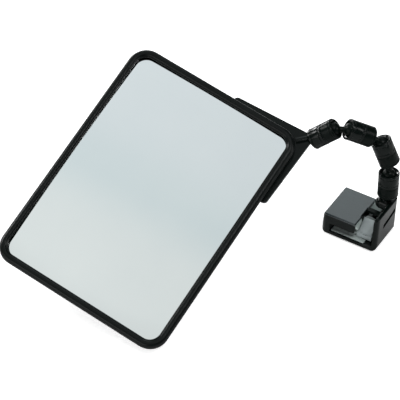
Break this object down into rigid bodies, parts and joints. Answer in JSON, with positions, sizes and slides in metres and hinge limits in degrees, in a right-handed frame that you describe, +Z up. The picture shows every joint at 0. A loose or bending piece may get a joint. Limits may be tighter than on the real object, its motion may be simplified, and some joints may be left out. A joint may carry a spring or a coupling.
{
  "type": "clip-on convex mirror on a jointed arm",
  "caption": "Rectangular shallow convex mirror on a jointed ball-and-socket arm, held by a small spring-tongue clamp with a swivelling knuckle.",
  "frame": {"origin": "centre of the underside of the clamp", "axes": "+Z up out of the clamp, -Y towards the clamp's open front, +X towards the wall that carries the arm"},
  "size_m": [0.2619, 0.2645, 0.1468],
  "materials": {
    "black_plastic": "moulded, satin to glossy",
    "dark_plastic": "fine moulded texture",
    "cover_black": "smooth and glossy",
    "rubber_black": "matte",
    "rubber_grey": "matte, light grey",
    "tongue_grey": "satin grey",
    "steel": "plain",
    "nylon": "natural",
    "mirror_glass": "silvered, clean",
    "foam": "closed-cell foam"
  },
  "bodies": {
    "clamp": {"clamp_body": "black_plastic", "jaw_cover": "cover_black", "jaw_flanks": "tongue_grey", "jaw_pad": "rubber_black", "base_pad": "rubber_grey", "swivel_pin": "steel", "detent_ring": "dark_plastic"},
    "tongue": {"pressure_tongue": "tongue_grey", "tongue_pin": "steel", "tongue_spring": "steel"},
    "slider": {"lock_slider": "dark_plastic"},
    "knuckle": {"swivel_knuckle": "black_plastic", "base_ball_stud": "black_plastic"},
    "link_1_lower_seat": {"link_1_lower_seat": "nylon"},
    "link_1": {"link_1_lower_shell": "dark_plastic", "link_1_upper_shell": "black_plastic", "link_1_disc_springs": "steel"},
    "link_1_upper_seat": {"link_1_upper_seat": "nylon"},
    "pin_1": {"ball_pin_1": "black_plastic"},
    "link_2_lower_seat": {"link_2_lower_seat": "nylon"},
    "link_2": {"link_2_lower_shell": "dark_plastic", "link_2_upper_shell": "black_plastic", "link_2_disc_springs": "steel"},
    "link_2_upper_seat": {"link_2_upper_seat": "nylon"},
    "pin_2": {"ball_pin_2": "black_plastic"},
    "link_3_lower_seat": {"link_3_lower_seat": "nylon"},
    "link_3": {"link_3_lower_shell": "dark_plastic", "link_3_upper_shell": "black_plastic", "link_3_disc_springs": "steel"},
    "link_3_upper_seat": {"link_3_upper_seat": "nylon"},
    "pin_3": {"ball_pin_3": "black_plastic"},
    "link_4_lower_seat": {"link_4_lower_seat": "nylon"},
    "link_4": {"link_4_lower_shell": "dark_plastic", "link_4_upper_shell": "black_plastic", "link_4_disc_springs": "steel"},
    "link_4_upper_seat": {"link_4_upper_seat": "nylon"},
    "mirror": {"mirror_ball_stud": "black_plastic", "stud_nut": "steel", "corner_bracket": "black_plastic", "bracket_screws": "steel", "front_frame": "black_plastic", "mirror_panel": "mirror_glass", "backing_pad": "foam", "back_cover": "dark_plastic", "cover_screws": "steel"}
  },
  "joints": [
    {"name": "tongue_press", "type": "hinge", "parent": "clamp", "child": "tongue", "pos_m": [0.0127, -0.01185, 0.0063], "axis": [1, 0, 0], "range_deg": [-22, 5], "stiffness_Nm_per_rad": 0.05},
    {"name": "lock_slide", "type": "slide", "parent": "clamp", "child": "slider", "axis": [0, 0.9836, 0.1804], "range_m": [-0.0045, 0.008]},
    {"name": "base_swivel", "type": "hinge", "parent": "clamp", "child": "knuckle", "pos_m": [0.0209, 0.0101, 0.0318], "axis": [1, 0, 0], "range_deg": [-25, 25], "stiffness_Nm_per_rad": 100},
    {"name": "link_1_lower_tilt", "type": "hinge", "parent": "knuckle", "child": "link_1_lower_seat", "pos_m": [0.0209, 0.0101, 0.0468], "axis": [-0.4756, -0.8796, 0], "range_deg": [-47, 40], "stiffness_Nm_per_rad": 100},
    {"name": "link_1_lower_turn", "type": "hinge", "parent": "link_1_lower_seat", "child": "link_1", "pos_m": [0.0209, 0.0101, 0.0468], "axis": [0.0537, -0.029, -0.9981], "continuous": true, "stiffness_Nm_per_rad": 50},
    {"name": "link_1_upper_turn", "type": "hinge", "parent": "link_1", "child": "link_1_upper_seat", "pos_m": [0.0199, 0.01064, 0.06537], "axis": [-0.0537, 0.029, 0.9981], "continuous": true, "stiffness_Nm_per_rad": 50},
    {"name": "link_1_upper_tilt", "type": "hinge", "parent": "link_1_upper_seat", "child": "pin_1", "pos_m": [0.0199, 0.01064, 0.06537], "axis": [-0.5973, -0.802, -0.0088], "range_deg": [-46, 33], "stiffness_Nm_per_rad": 100},
    {"name": "link_2_lower_tilt", "type": "hinge", "parent": "pin_1", "child": "link_2_lower_seat", "pos_m": [0.0176, 0.01219, 0.08062], "axis": [-0.4935, 0.8547, -0.1611], "range_deg": [-21, 59], "stiffness_Nm_per_rad": 100},
    {"name": "link_2_lower_turn", "type": "hinge", "parent": "link_2_lower_seat", "child": "link_2", "pos_m": [0.0176, 0.01219, 0.08062], "axis": [0.4225, 0.0737, -0.9033], "continuous": true, "stiffness_Nm_per_rad": 50},
    {"name": "link_2_upper_turn", "type": "hinge", "parent": "link_2", "child": "link_2_upper_seat", "pos_m": [0.00974, 0.01081, 0.09742], "axis": [0.4225, 0.0737, -0.9033], "continuous": true, "stiffness_Nm_per_rad": 50},
    {"name": "link_2_upper_tilt", "type": "hinge", "parent": "link_2_upper_seat", "child": "pin_2", "pos_m": [0.00974, 0.01081, 0.09742], "axis": [0.7401, -0.6034, 0.2969], "range_deg": [-77.2, 10.8], "stiffness_Nm_per_rad": 100},
    {"name": "link_3_lower_tilt", "type": "hinge", "parent": "pin_2", "child": "link_3_lower_seat", "pos_m": [-0.00018, 0.00312, 0.10651], "axis": [-0.6522, 0.7545, -0.073], "range_deg": [-21, 52.93], "stiffness_Nm_per_rad": 100},
    {"name": "link_3_lower_turn", "type": "hinge", "parent": "link_3_lower_seat", "child": "link_3", "pos_m": [-0.00018, 0.00312, 0.10651], "axis": [-0.6954, -0.5571, 0.454], "continuous": true, "stiffness_Nm_per_rad": 50},
    {"name": "link_3_upper_turn", "type": "hinge", "parent": "link_3", "child": "link_3_upper_seat", "pos_m": [-0.01311, -0.00724, 0.11495], "axis": [-0.6954, -0.5571, 0.454], "continuous": true, "stiffness_Nm_per_rad": 50},
    {"name": "link_3_upper_tilt", "type": "hinge", "parent": "link_3_upper_seat", "child": "pin_3", "pos_m": [-0.01311, -0.00724, 0.11495], "axis": [0.5031, -0.8285, -0.246], "range_deg": [-70.59, 4], "stiffness_Nm_per_rad": 100},
    {"name": "link_4_lower_tilt", "type": "hinge", "parent": "pin_3", "child": "link_4_lower_seat", "pos_m": [-0.02631, -0.01536, 0.1153], "axis": [-0.5079, 0.8348, 0.2126], "range_deg": [-1.54, 86.46], "stiffness_Nm_per_rad": 100},
    {"name": "link_4_lower_turn", "type": "hinge", "parent": "link_4_lower_seat", "child": "link_4", "pos_m": [-0.02631, -0.01536, 0.1153], "axis": [-0.7161, -0.272, -0.6428], "continuous": true, "stiffness_Nm_per_rad": 50},
    {"name": "link_4_upper_turn", "type": "hinge", "parent": "link_4", "child": "link_4_upper_seat", "pos_m": [-0.03963, -0.02042, 0.10335], "axis": [-0.7161, -0.272, -0.6428], "continuous": true, "stiffness_Nm_per_rad": 50},
    {"name": "link_4_upper_tilt", "type": "hinge", "parent": "link_4_upper_seat", "child": "mirror", "pos_m": [-0.03963, -0.02042, 0.10335], "axis": [-0.6347, 0.637, 0.4375], "range_deg": [-74, 0.7], "stiffness_Nm_per_rad": 100}
  ]
}
